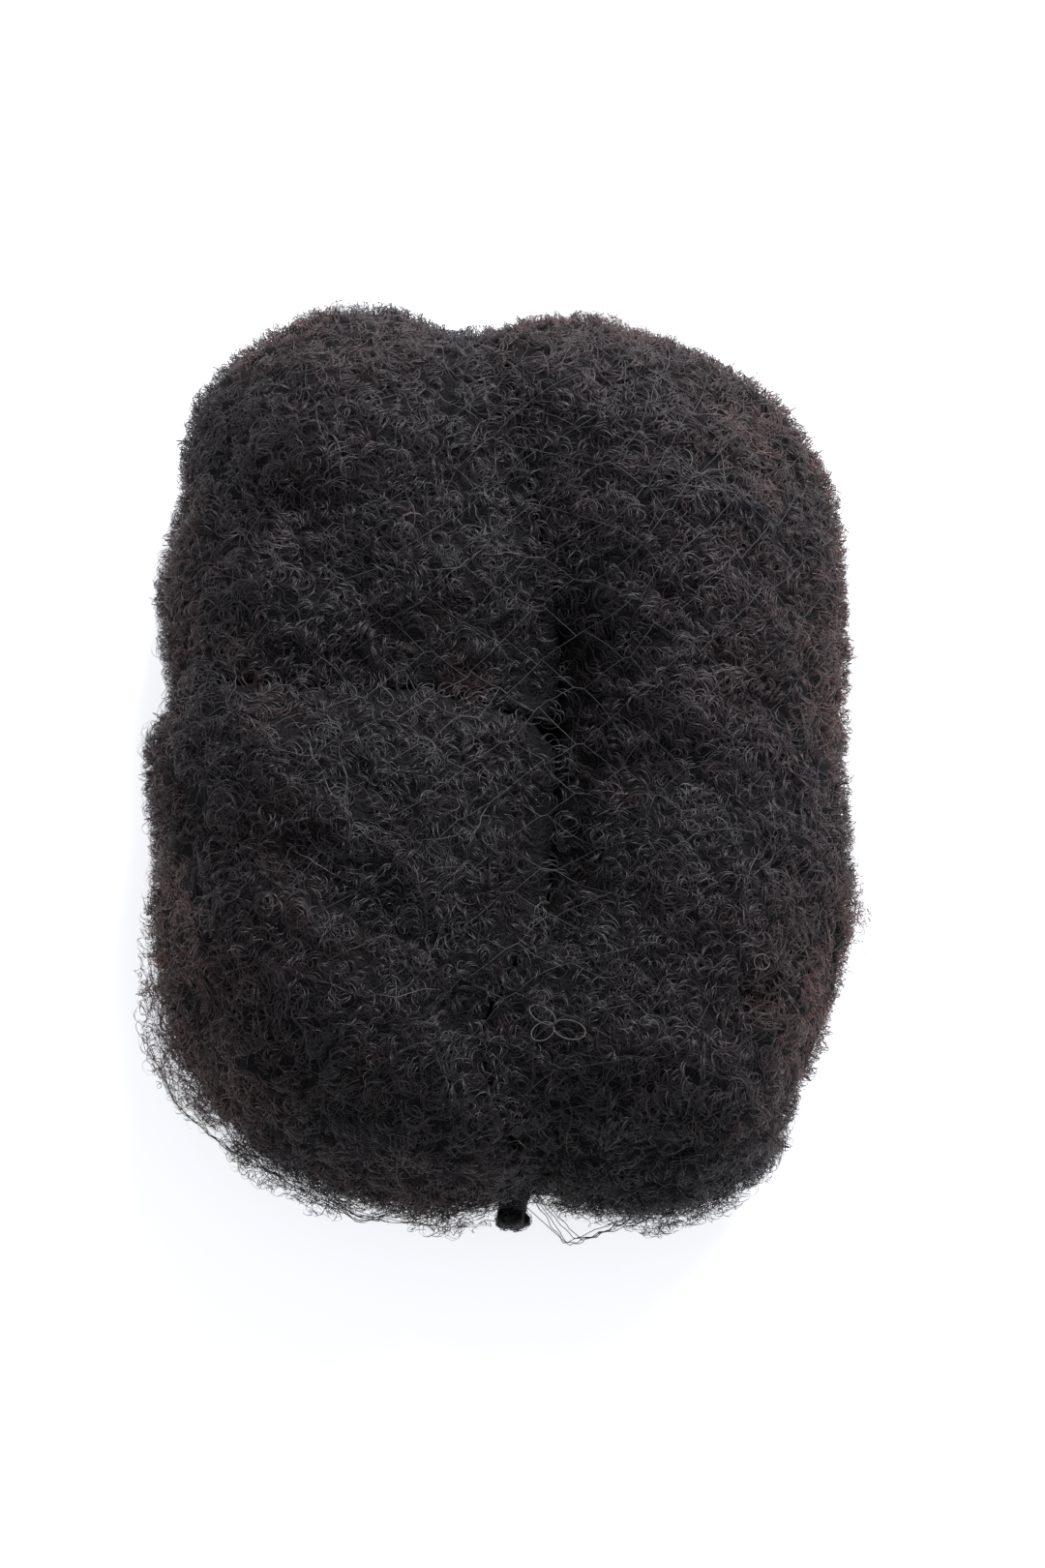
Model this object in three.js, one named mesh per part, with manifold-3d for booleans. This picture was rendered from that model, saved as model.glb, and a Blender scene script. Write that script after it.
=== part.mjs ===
// A bundle of bulk braiding hair: tightly curled hair in three wads that lie pressed together,
// and the tied-off foot of the fine net that holds them.
// Units are millimetres. +Z is up, the bundle lies on its back on z = 0, and its tied foot
// points towards -Y.

import * as THREE from "three";
import { mergeVertices } from "three/addons/utils/BufferGeometryUtils.js";
import Module from "manifold-3d";

const wasm = await Module();
wasm.setup();

// Driving dimensions of the bundle
const BUNDLE_WIDTH = 130;
const BUNDLE_LENGTH = 170;
const WAD_GAP = 0.5; // left open between two wads, and between a wad and the gathered net

// Height of each wad at its crown
const UPPER_WAD_HEIGHT = 52;
const LEFT_WAD_HEIGHT = 57;
const RIGHT_WAD_HEIGHT = 54;

// A wad's edge: the height up to which its wall stands, and the width of the roll above that
const RIM_LEVEL = 17; // on a free side, where the wad is widest at this height
const RIM_ROLL = 30;
const PARTING_LEVEL = 27; // where a deep parting divides two wads
const PARTING_ROLL = 18;
const FOLD_LEVEL = 41; // where a shallower one does
const FOLD_ROLL = 10;
const SEAM_LEVEL = 44; // where two wads lie close together
const SEAM_ROLL = 8;
const BASE_TUCK = 9; // how far the base of a free side draws in from the widest level
const CROWN_RISE = 4; // how much the top still rises from the end of the roll to the crown
const ROLL_POWER = 2.3; // 2 is a round roll, more is a squarer one

// The tufts that the curls clump into
const TUFT_PITCH = 13;
const TUFT_RELIEF = 2.6; // from the crest of a tuft down to the furrows round it
const TUFT_STAND = 1.3; // how far the crest stands out of the even surface

// The deepest of the creases where a wad is folded
const CREASE_DEPTH = 3.6;
const CREASE_WIDTH = 4.5; // from its middle to where it is about a third as deep

// The knot that ties off the net
const KNOT_LENGTH = 4; // of the tied end, which stands out past the wads
const KNOT_WIDTH = 6.6;
const GATHER_LENGTH = 8; // of the gathered net, back from the tie to between the wads
const GATHER_WIDTH = 12; // where it comes out between the wads, which cut it off
const KNOT_HEIGHT = 14; // its axis above the floor
const KNOT_PLEATS = 7;
const KNOT_PLEAT = 0.055; // depth of a pleat, as a share of the width there

// How finely the surfaces are drawn
const OUTLINE_STEP = 4.1;
const SPINE_STEP = 7; // longer than the outline's, so that the outline misses no spine point
const SMOOTHING_PASSES = 3;
const EASING_REACH = 7;
const EASING_PLACES = 8;
const KNOT_SIDES = 28;

// Plan of the bundle. across and along are shares of half its width and half its length, and
// each stretch runs from the first point named to the last.
const headNotch = { across: -0.06, along: 0.94 };
const leftNotch = { across: -0.95, along: 0.14 };
const footNotch = { across: 0.09, along: -0.95 };
const partingHead = { across: 0.17, along: 0.27 }; // where the deep parting starts
const junction = { across: 0.17, along: 0.01 };
const partingFoot = { across: 0.11, along: -0.44 }; // where the deep parting ends
const knotPlace = { across: 0.035, along: -0.98 };

const upperRim = [
  headNotch,
  { across: -0.12, along: 0.95 },
  { across: -0.25, along: 0.985 },
  { across: -0.4, along: 1.0 },
  { across: -0.57, along: 0.985 },
  { across: -0.73, along: 0.93 },
  { across: -0.86, along: 0.83 },
  { across: -0.92, along: 0.71 },
  { across: -0.93, along: 0.58 },
  { across: -0.97, along: 0.4 },
  { across: -0.98, along: 0.25 },
  leftNotch,
];
const leftRim = [
  leftNotch,
  { across: -1.0, along: 0.06 },
  { across: -1.01, along: -0.08 },
  { across: -0.99, along: -0.28 },
  { across: -0.96, along: -0.48 },
  { across: -0.9, along: -0.67 },
  { across: -0.75, along: -0.82 },
  { across: -0.56, along: -0.92 },
  { across: -0.32, along: -0.98 },
  { across: -0.1, along: -0.985 },
  { across: 0.02, along: -0.97 },
  footNotch,
];
const rightRim = [
  footNotch,
  { across: 0.17, along: -0.925 },
  { across: 0.25, along: -0.955 },
  { across: 0.34, along: -0.985 },
  { across: 0.48, along: -1.0 },
  { across: 0.7, along: -0.955 },
  { across: 0.81, along: -0.86 },
  { across: 0.86, along: -0.73 },
  { across: 0.92, along: -0.57 },
  { across: 0.99, along: -0.44 },
  { across: 1.0, along: -0.28 },
  { across: 0.99, along: -0.05 },
  { across: 0.99, along: 0.2 },
  { across: 1.01, along: 0.42 },
  { across: 0.94, along: 0.61 },
  { across: 0.83, along: 0.77 },
  { across: 0.65, along: 0.88 },
  { across: 0.41, along: 0.95 },
  { across: 0.17, along: 0.985 },
  { across: 0.03, along: 0.955 },
  headNotch,
];
const upperParting = [
  headNotch,
  { across: 0.02, along: 0.82 },
  { across: 0.06, along: 0.68 },
  { across: 0.08, along: 0.54 },
  { across: 0.13, along: 0.4 },
  partingHead,
];
const throatParting = [partingHead, { across: 0.175, along: 0.14 }, junction];
const deepParting = [
  junction,
  { across: 0.15, along: -0.12 },
  { across: 0.15, along: -0.25 },
  { across: 0.14, along: -0.35 },
  partingFoot,
];
const footParting = [
  partingFoot,
  { across: 0.0, along: -0.54 },
  { across: -0.06, along: -0.64 },
  { across: -0.05, along: -0.75 },
  { across: 0.02, along: -0.85 },
  footNotch,
];
const crossParting = [
  leftNotch,
  { across: -0.74, along: 0.1 },
  { across: -0.52, along: 0.09 },
  { across: -0.28, along: 0.095 },
  { across: -0.1, along: 0.07 },
  { across: 0.06, along: 0.03 },
  junction,
];

// The edge along each kind of stretch. bare is how much of it is free of a neighbour: the tuck
// of the base and the tufts of the wall come with that.
const rim = { roll: RIM_ROLL, level: RIM_LEVEL, bare: 1 };
const parting = { roll: PARTING_ROLL, level: PARTING_LEVEL, bare: 0 };
const fold = { roll: FOLD_ROLL, level: FOLD_LEVEL, bare: 0 };
const seam = { roll: SEAM_ROLL, level: SEAM_LEVEL, bare: 0 };

// The creases that fold a wad's surface. from and to are shares across and along the bundle,
// as in its plan, and depth and width are shares of the deepest crease's.
const creases = [
  { wad: "upper_wad", from: [-0.95, 0.5], to: [-0.5, 0.485], depth: 0.9, width: 1 },
  { wad: "upper_wad", from: [-0.72, 0.92], to: [-0.6, 0.8], depth: 0.7, width: 0.9 },
  { wad: "left_wad", from: [-0.6, -0.28], to: [-0.33, -0.43], depth: 1, width: 1.2 },
  { wad: "left_wad", from: [-0.62, -0.72], to: [-0.4, -0.84], depth: 0.8, width: 1.2 },
  { wad: "right_wad", from: [0.34, 0.78], to: [0.6, 0.71], depth: 0.7, width: 1 },
  { wad: "right_wad", from: [0.28, -0.09], to: [0.6, -0.11], depth: 1, width: 0.8 },
  { wad: "right_wad", from: [0.34, -0.57], to: [0.74, -0.58], depth: 0.9, width: 1 },
  { wad: "right_wad", from: [0.16, -0.83], to: [0.46, -0.76], depth: 0.9, width: 1 },
];

// Shares of the way from a wad's outline to its spine at which the top's rings lie
const topRings = [0, 0.04, 0.1, 0.18, 0.28, 0.4, 0.54, 0.69, 0.84];
// Shares of a wall's height at which its rings lie, from the floor up
const wallRings = [0, 0.16, 0.42, 0.72];

// The knot's form along its axis: reach is a share of its length past the tie and width a
// share of its own width, and the pleats of the gathered net fade out towards its tip
const knotRings = [
  { reach: -0.5, width: 0.96, pleats: 1.0 },
  { reach: 0.05, width: 0.76, pleats: 1.0 },
  { reach: 0.3, width: 0.9, pleats: 0.8 },
  { reach: 0.52, width: 1.0, pleats: 0.6 },
  { reach: 0.76, width: 0.98, pleats: 0.5 },
  { reach: 0.92, width: 0.8, pleats: 0.4 },
  { reach: 1.0, width: 0.45, pleats: 0.2 },
  { reach: 1.0, width: 0, pleats: 0 },
];

function planPoint({ across, along }) {
  return new THREE.Vector2((across * BUNDLE_WIDTH) / 2, (along * BUNDLE_LENGTH) / 2);
}

// A wad's closed outline at an even spacing, counter-clockwise seen from above: each stretch in
// turn, with its corners rounded off. Each point has its edge's values and its way out.
function outlineOf(stretches) {
  let ring = [];
  for (const { rows, edge, backwards } of stretches) {
    const curve = new THREE.SplineCurve(rows.map(planPoint));
    const run = curve.getSpacedPoints(Math.round(curve.getLength() / OUTLINE_STEP));
    if (backwards) run.reverse();
    for (const at of run.slice(0, -1)) ring.push({ x: at.x, y: at.y, ...edge });
  }
  const neighbours = (i) => [ring.at(i - 1), ring[(i + 1) % ring.length]];
  for (let pass = 0; pass < SMOOTHING_PASSES; pass++)
    ring = ring.map((point, i) => {
      const [before, after] = neighbours(i);
      const eased = {};
      for (const key in point) eased[key] = point[key] / 2 + (before[key] + after[key]) / 4;
      return eased;
    });
  return ring.map((point, i) => {
    const [before, after] = neighbours(i);
    const out = new THREE.Vector2(after.y - before.y, before.x - after.x).normalize();
    const inset = WAD_GAP / 2;
    return { ...point, x: point.x - out.x * inset, y: point.y - out.y * inset, out };
  });
}

// For each point of an outline, the point of the spine that lies beside it. The spine has a few
// evenly spaced points, which both of its sides share, so that the rings close on them.
function spinePointsFor(outline, spine) {
  const [from, to] = spine.map(planPoint);
  const run = to.clone().sub(from);
  const steps = Math.max(1, Math.floor(run.length() / SPINE_STEP));
  return outline.map((point) => {
    const share = from.clone().negate().add(point).dot(run) / run.lengthSq();
    const step = Math.round(THREE.MathUtils.clamp(share, 0, 1) * steps);
    return from.clone().addScaledVector(run, step / steps);
  });
}

// A number from 0 to 1 that is always the same for the same cell and channel
function scatter(i, j, k, channel) {
  const mixed = Math.sin(i * 127.1 + j * 311.7 + k * 74.7 + channel * 53.3) * 43758.5453;
  return mixed - Math.floor(mixed);
}

// How far a point lies below the even surface, in the furrows between the tufts, or above it on
// a tuft's crest: tufts are packed at an even pitch, each a little off its place
function tuftDip(at) {
  const cell = [at.x, at.y, at.z].map((value) => Math.floor(value / TUFT_PITCH));
  let nearest = Infinity;
  for (let i = cell[0] - 1; i <= cell[0] + 1; i++)
    for (let j = cell[1] - 1; j <= cell[1] + 1; j++)
      for (let k = cell[2] - 1; k <= cell[2] + 1; k++) {
        const centre = new THREE.Vector3(
          i + scatter(i, j, k, 0),
          j + scatter(i, j, k, 1),
          k + scatter(i, j, k, 2),
        ).multiplyScalar(TUFT_PITCH);
        nearest = Math.min(nearest, centre.distanceTo(at));
      }
  return TUFT_RELIEF * Math.min(1, (nearest / TUFT_PITCH) ** 2 / 0.6) - TUFT_STAND;
}

// The place of a point along a line from one plan point to another, as a share of it, and its
// distance from the line
function besideLine(x, y, from, to) {
  const run = { x: to.x - from.x, y: to.y - from.y };
  const along = (x - from.x) * run.x + (y - from.y) * run.y;
  const share = THREE.MathUtils.clamp(along / (run.x ** 2 + run.y ** 2), 0, 1);
  const distance = Math.hypot(x - from.x - run.x * share, y - from.y - run.y * share);
  return { share, distance };
}

// How deep the creases of a wad press its surface in at a point
function creaseDip(x, y, wadName) {
  let dip = 0;
  for (const { wad, from, to, depth, width } of creases) {
    if (wad !== wadName) continue;
    const ends = [from, to].map(([across, along]) => planPoint({ across, along }));
    const { distance } = besideLine(x, y, ...ends);
    dip += depth * CREASE_DEPTH * Math.exp(-((distance / (width * CREASE_WIDTH)) ** 2));
  }
  return dip;
}

// A wad's top over a place in its plan, as the edge that keeps it lowest there shapes it: its
// height, the distance from that edge, as a share of the roll too, and the way out to it
function rolledTop(x, y, outline, height) {
  let lowest = { z: Infinity };
  outline.forEach((from, i) => {
    const to = outline[(i + 1) % outline.length];
    const { share, distance } = besideLine(x, y, from, to);
    const between = (key) => THREE.MathUtils.lerp(from[key], to[key], share);
    const level = between("level");
    const inwards = Math.min(1, distance / between("roll"));
    const risen = (1 - (1 - inwards) ** ROLL_POWER) ** (1 / ROLL_POWER);
    const crown = CROWN_RISE * Math.min(1, distance / RIM_ROLL);
    const z = level + (height - CROWN_RISE - level) * risen + crown;
    if (z >= lowest.z) return;
    const out = from.out.clone().lerp(to.out, share);
    lowest = { z, distance, inwards, bare: between("bare"), outX: out.x, outY: out.y };
  });
  return lowest;
}

// The same, with the ridges eased where the rolls of two edges meet: the mean of the place and
// of a circle of places round it, which stays inside the wad
function evenTop(x, y, outline, height) {
  const middle = rolledTop(x, y, outline, height);
  const radius = Math.min(EASING_REACH, 0.7 * middle.distance);
  const mean = { ...middle };
  for (let i = 0; i < EASING_PLACES; i++) {
    const turn = (i / EASING_PLACES) * 2 * Math.PI;
    const [nearX, nearY] = [x + radius * Math.cos(turn), y + radius * Math.sin(turn)];
    const near = rolledTop(nearX, nearY, outline, height);
    for (const key in mean) mean[key] += near[key];
  }
  for (const key in mean) mean[key] /= EASING_PLACES + 1;
  return mean;
}

// A closed solid through rings of as many points each, counter-clockwise seen from the last.
// The first ring and the last are drawn together onto a point or a line, which closes them.
function solidThrough(rings) {
  const count = rings[0].length;
  const corners = [];
  for (let r = 0; r + 1 < rings.length; r++)
    for (let i = 0; i < count; i++) {
      const j = (i + 1) % count;
      const [a, b, c, d] = [rings[r][i], rings[r][j], rings[r + 1][j], rings[r + 1][i]];
      corners.push(a, b, c, a, c, d);
    }
  const geometry = mergeVertices(new THREE.BufferGeometry().setFromPoints(corners), 1e-4);
  const faces = [];
  for (let f = 0; f < geometry.index.count; f += 3) {
    const [a, b, c] = geometry.index.array.slice(f, f + 3);
    if (a !== b && b !== c && c !== a) faces.push(a, b, c);
  }
  return geometry.setIndex(faces);
}

// One wad of hair: a flat base, a wall, a rolled edge and a crowned top, all drawn in between
// the tufts and along the creases
function wadGeometry({ name, height, spine, stretches }) {
  const outline = outlineOf(stretches);
  const beside = spinePointsFor(outline, spine);
  const base = beside.map((at) => new THREE.Vector3(at.x, at.y, 0));
  const wall = wallRings.map((share) =>
    outline.map(({ x, y, level, bare, out }) => {
      const at = new THREE.Vector3(x, y, share * level);
      const drawnIn = bare * BASE_TUCK * (1 - share) ** 2 + bare * share * tuftDip(at);
      return at.add(new THREE.Vector3(out.x, out.y, 0).multiplyScalar(-drawnIn));
    }),
  );
  const top = [...topRings, 1].map((share) =>
    outline.map((edgePoint, i) => {
      const x = THREE.MathUtils.lerp(edgePoint.x, beside[i].x, share);
      const y = THREE.MathUtils.lerp(edgePoint.y, beside[i].y, share);
      const { z, inwards, bare, outX, outY } = evenTop(x, y, outline, height);
      const at = new THREE.Vector3(x, y, z);
      const soft = THREE.MathUtils.lerp(bare, 1, inwards);
      const way = new THREE.Vector3(outX * (1 - inwards), outY * (1 - inwards), inwards);
      const dip = soft * tuftDip(at) + inwards * creaseDip(x, y, name);
      return at.addScaledVector(way.normalize(), -dip);
    }),
  );
  return solidThrough([base, ...wall, ...top]);
}

// A geometry as a solid that can be cut, and back
function solidOf(geometry) {
  const bare = geometry.clone();
  bare.deleteAttribute("normal");
  bare.deleteAttribute("uv");
  const merged = mergeVertices(bare, 1e-4);
  return new wasm.Manifold(
    new wasm.Mesh({
      numProp: 3,
      vertProperties: merged.attributes.position.array,
      triVerts: new Uint32Array(merged.index.array),
    }),
  );
}

function geometryOf(solid) {
  const mesh = solid.getMesh();
  const geometry = new THREE.BufferGeometry();
  geometry.setAttribute("position", new THREE.BufferAttribute(mesh.vertProperties, 3));
  geometry.setIndex(new THREE.BufferAttribute(mesh.triVerts, 1));
  return geometry;
}

// A wad set off by each of these in turn cuts away all that lies closer to it than the gap
const clearances = [
  [0, 0, 0],
  [WAD_GAP, 0, 0],
  [-WAD_GAP, 0, 0],
  [0, -WAD_GAP, 0],
  [0, 0, WAD_GAP],
  [0, 0, -WAD_GAP],
];

// The knot: the gathered net narrows in pleats from the wads, which cut it off, to its tie, and
// the tied end stands out past them
function knotGeometry(wads) {
  const foot = planPoint(knotPlace);
  const ringAt = (y, width, pleats) => {
    const turns = Array.from({ length: KNOT_SIDES }, (_, i) => (i / KNOT_SIDES) * 2 * Math.PI);
    return turns.map((turn) => {
      const radius = width / 2 + width * KNOT_PLEAT * pleats * Math.cos(turn * KNOT_PLEATS);
      const x = foot.x + radius * Math.cos(turn);
      return new THREE.Vector3(x, y, KNOT_HEIGHT + radius * Math.sin(turn));
    });
  };
  const inner = foot.y + GATHER_LENGTH;
  const rings = [ringAt(inner, 0, 0), ringAt(inner, GATHER_WIDTH, 1)];
  for (const { reach, width, pleats } of knotRings)
    rings.push(ringAt(foot.y - reach * KNOT_LENGTH, width * KNOT_WIDTH, pleats));
  let solid = solidOf(solidThrough(rings));
  for (const wad of wads.map(solidOf))
    for (const shift of clearances) solid = solid.subtract(wad.translate(shift));
  const pieces = solid.decompose().sort((a, b) => b.volume() - a.volume());
  return geometryOf(pieces[0]);
}

const upperWad = wadGeometry({
  name: "upper_wad",
  height: UPPER_WAD_HEIGHT,
  spine: [
    { across: -0.42, along: 0.7 },
    { across: -0.4, along: 0.48 },
  ],
  stretches: [
    { rows: upperRim, edge: rim },
    { rows: crossParting, edge: fold },
    { rows: throatParting, edge: parting, backwards: true },
    { rows: upperParting, edge: seam, backwards: true },
  ],
});
const leftWad = wadGeometry({
  name: "left_wad",
  height: LEFT_WAD_HEIGHT,
  spine: [
    { across: -0.36, along: -0.12 },
    { across: -0.42, along: -0.6 },
  ],
  stretches: [
    { rows: leftRim, edge: rim },
    { rows: footParting, edge: fold, backwards: true },
    { rows: deepParting, edge: parting, backwards: true },
    { rows: crossParting, edge: fold, backwards: true },
  ],
});
const rightWad = wadGeometry({
  name: "right_wad",
  height: RIGHT_WAD_HEIGHT,
  spine: [
    { across: 0.5, along: 0.58 },
    { across: 0.48, along: -0.68 },
  ],
  stretches: [
    { rows: rightRim, edge: rim },
    { rows: upperParting, edge: seam },
    { rows: throatParting, edge: parting },
    { rows: deepParting, edge: parting },
    { rows: footParting, edge: fold },
  ],
});

const hair = new THREE.MeshStandardMaterial({ color: 0x1c1a1b, roughness: 0.8, metalness: 0 });
const netThread = new THREE.MeshStandardMaterial({ color: 0x17171a, roughness: 0.7, metalness: 0 });

function named(name, geometry, material) {
  const mesh = new THREE.Mesh(geometry, material);
  mesh.name = name;
  return mesh;
}

const bundle = new THREE.Group();
bundle.add(
  named("upper_wad", upperWad, hair),
  named("left_wad", leftWad, hair),
  named("right_wad", rightWad, hair),
  named("net_knot", knotGeometry([leftWad, rightWad]), netThread),
);

// The origin is the middle of the bundle's footprint, on the floor
const extent = new THREE.Box3().setFromObject(bundle);
const middle = extent.getCenter(new THREE.Vector3());
bundle.position.set(-middle.x, -middle.y, -extent.min.z);

export default bundle;
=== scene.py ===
# A bundle of black bulk braiding hair in its net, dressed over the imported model.
# Units are metres. +Z is up, the bundle lies on its back, and its tied foot points to -Y.

import math
from collections import namedtuple

import bmesh
import bpy
import numpy as np
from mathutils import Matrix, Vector
from mathutils.bvhtree import BVHTree


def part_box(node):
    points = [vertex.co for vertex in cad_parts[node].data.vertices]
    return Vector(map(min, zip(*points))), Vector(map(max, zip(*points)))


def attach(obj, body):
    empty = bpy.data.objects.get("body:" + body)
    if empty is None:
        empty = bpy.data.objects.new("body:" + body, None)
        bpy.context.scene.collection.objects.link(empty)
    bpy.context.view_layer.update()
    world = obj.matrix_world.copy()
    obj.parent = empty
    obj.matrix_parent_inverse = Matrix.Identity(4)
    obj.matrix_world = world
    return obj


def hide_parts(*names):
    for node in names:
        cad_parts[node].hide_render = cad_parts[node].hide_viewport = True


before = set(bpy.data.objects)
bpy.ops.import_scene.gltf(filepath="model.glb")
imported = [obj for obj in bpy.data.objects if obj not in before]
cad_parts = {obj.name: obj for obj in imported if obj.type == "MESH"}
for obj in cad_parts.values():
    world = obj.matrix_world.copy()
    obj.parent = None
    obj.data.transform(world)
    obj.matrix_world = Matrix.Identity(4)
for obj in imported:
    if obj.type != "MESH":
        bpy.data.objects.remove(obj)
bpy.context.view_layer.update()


# The matted hair of the wads
# Each wad is a mass of coily hair, so dense that hardly any light gets into it. What shows
# between its curls is a felt of the same hairs, clumped into tufts. It keeps the wad's form.
MM = 0.001
WADS = ("upper_wad", "left_wad", "right_wad")
FELT_GRAIN = 1.8 * MM
FELT_INSET = 0.3 * MM  # from the wad's outer form down to the crests of the felt
FELT_SMOOTHING = 5
PRESSED_REACH = 6 * MM  # felts that lie closer than this swell towards each other
PRESSED_EASE = 0.5  # the share of that reach over which they come to meet
PRESSED_DEPTHS = (1.2 * MM, 2.5 * MM)  # under the outline where they are let meet, low and high
PRESSED_LEVEL = 40 * MM  # where the one depth gives way to the other
PRESSED_OVERLAP = 0.25 * MM
PRESSED_FLAT = 0.65  # how much of their tufts' relief they lose there
LARGE_TUFT = 7.5 * MM
LARGE_TUFT_DEPTH = 1.0 * MM
SMALL_TUFT = 3.6 * MM
SMALL_TUFT_DEPTH = 0.6 * MM
TUFT_EDGE = 0.8  # how far from its middle a tuft falls off, in pitches of the tufts
FLOOR_CLEARANCE = 0.1 * MM
OUTLINE_GRAIN = 2 * MM
OUTLINE_CLOSING = 8 * MM
OUTLINE_SMOOTHING = 8


def scattered(cells, channel):
    """A number from 0 to 1 for each row of whole numbers, always the same for the same row.
    The values in it mean nothing: they only keep the rows from coming out alike."""
    mixed = np.sin(cells @ np.array([127.1, 311.7, 74.7]) + channel * 53.3) * 43758.5453
    return mixed - np.floor(mixed)


def furrow(points, pitch):
    """0 on the crest of the tuft that each point belongs to, rising to 1 between the tufts."""
    home = np.floor(points / pitch)
    nearest = np.full(len(points), np.inf)
    for step in np.ndindex(3, 3, 3):
        cell = home + np.array(step) - 1
        centre = cell + np.stack([scattered(cell, channel) for channel in range(3)], axis=1)
        nearest = np.minimum(nearest, np.linalg.norm(points / pitch - centre, axis=1))
    return np.clip(nearest / TUFT_EDGE, 0, 1) ** 2


def coordinates(mesh):
    flat = np.empty(len(mesh.vertices) * 3)
    mesh.vertices.foreach_get("co", flat)
    return flat.reshape(-1, 3)


def point_normals(mesh):
    flat = np.empty(len(mesh.vertices) * 3)
    mesh.vertex_normals.foreach_get("vector", flat)
    return flat.reshape(-1, 3)


def moved(piece, points):
    piece.data.vertices.foreach_set("co", points.ravel())
    piece.data.update()


def linked(name, mesh):
    piece = bpy.data.objects.new(name, mesh)
    bpy.context.scene.collection.objects.link(piece)
    return piece


WELD_DISTANCE = 0.001 * MM


def packed_form(name, *nodes):
    """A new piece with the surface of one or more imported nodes, each as one closed skin."""
    work = bmesh.new()
    for node_name in nodes:
        work.from_mesh(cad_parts[node_name].data)
    bmesh.ops.remove_doubles(work, verts=work.verts, dist=WELD_DISTANCE)
    mesh = bpy.data.meshes.new(name)
    work.to_mesh(mesh)
    work.free()
    return linked(name, mesh)


def regrained(piece, grain, swelling=0.0, smoothing=0):
    """The piece on an even grain. A swelling first closes the grooves narrower than twice it."""
    if swelling:
        for strength in (swelling, -swelling):
            remesh = piece.modifiers.new("grain", "REMESH")
            remesh.mode = "VOXEL"
            remesh.voxel_size = grain
            swell_out = piece.modifiers.new("swell", "DISPLACE")
            swell_out.strength = strength
            swell_out.mid_level = 0
    remesh = piece.modifiers.new("grain", "REMESH")
    remesh.mode = "VOXEL"
    remesh.voxel_size = grain
    if smoothing:
        smooth = piece.modifiers.new("smooth", "SMOOTH")
        smooth.iterations = smoothing
    graph = bpy.context.evaluated_depsgraph_get()
    mesh = bpy.data.meshes.new_from_object(piece.evaluated_get(graph))
    piece.modifiers.clear()
    piece.data = mesh
    return piece


def search_tree(piece):
    mesh = piece.data
    corners = [vertex.co.copy() for vertex in mesh.vertices]
    return BVHTree.FromPolygons(corners, [tuple(face.vertices) for face in mesh.polygons])


def distances(points, trees, reach):
    """How far each point is from the nearest of the surfaces, up to the given reach."""
    nearest = np.full(len(points), reach)
    for i, point in enumerate(points):
        for tree in trees:
            found = tree.find_nearest(Vector(point), reach)[3]
            if found is not None:
                nearest[i] = min(nearest[i], found)
    return nearest


def depth_inside(points, tree):
    """How deep each point lies in a closed surface. Outside of it the depth is below 0."""
    depths = np.empty(len(points))
    for i, point in enumerate(points):
        spot, way, _, _ = tree.find_nearest(Vector(point))
        depths[i] = (spot - Vector(point)).dot(way)
    return depths


Surface = namedtuple("Surface", "tree centres areas corners normals")


def unit(vectors):
    return vectors / np.maximum(np.linalg.norm(vectors, axis=-1, keepdims=True), 1e-12)


def surface_of(piece):
    """A piece's surface: its search tree, and of each face the middle, the area, a corner and
    the mean of its corners' normals. The piece itself isn't kept."""
    mesh = piece.data
    count = len(mesh.polygons)
    centres, areas = np.empty(count * 3), np.empty(count)
    mesh.polygons.foreach_get("center", centres)
    mesh.polygons.foreach_get("area", areas)
    corners, starts = np.empty(len(mesh.loops), int), np.empty(count, int)
    mesh.loops.foreach_get("vertex_index", corners)
    mesh.polygons.foreach_get("loop_start", starts)
    normals = unit(np.add.reduceat(point_normals(mesh)[corners], starts, axis=0))
    tree = search_tree(piece)
    bpy.data.objects.remove(piece)
    return Surface(tree, centres.reshape(-1, 3), areas, corners[starts], normals)


def clumped(piece, inset, relief=1.0):
    """Draws a piece in by its inset and clumps its surface into tufts of the given relief."""
    points = coordinates(piece.data)
    sunk = LARGE_TUFT_DEPTH * furrow(points, LARGE_TUFT)
    sunk += SMALL_TUFT_DEPTH * furrow(points, SMALL_TUFT)
    sunk = inset + relief * sunk
    on_floor = points[:, 2] < FELT_GRAIN
    points -= point_normals(piece.data) * np.where(on_floor, 0, sunk)[:, None]
    points[:, 2] = np.maximum(points[:, 2], FLOOR_CLEARANCE)
    moved(piece, points)
    piece.data.shade_smooth()


def shader(material):
    return material.node_tree.nodes["Principled BSDF"]


def new_material(name, roughness, specular):
    material = bpy.data.materials.new(name)
    material.use_nodes = True
    shader(material).inputs["Roughness"].default_value = roughness
    shader(material).inputs["Specular IOR Level"].default_value = specular
    return material


def node(material, kind, **values):
    made = material.node_tree.nodes.new(kind)
    for key, value in values.items():
        setattr(made, key, value)
    return made


def link(material, source, target):
    material.node_tree.links.new(source, target)


# The felt is near-black with a brown cast in places. Its hairs lie in nested arcs, each set
# round the middle of its own curl, which show as fine ridges.
FELT_BLACK = (0.0095, 0.0090, 0.0106, 1)
FELT_BROWN = (0.0125, 0.0096, 0.0098, 1)
FELT_TURNING = (0.45, 0.75)  # levels of a noise between which the black turns to brown
PATCHES_PER_METRE = 45
ARCS_PER_CURL = 3.3
CURLS_PER_METRE = 420
CURL_DETAIL = 3
CURL_BEND = 2.2 * MM  # how far a noise pushes the arcs out of round
ARC_RELIEF = 0.2 * MM
ARC_STRENGTH = 0.6


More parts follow.
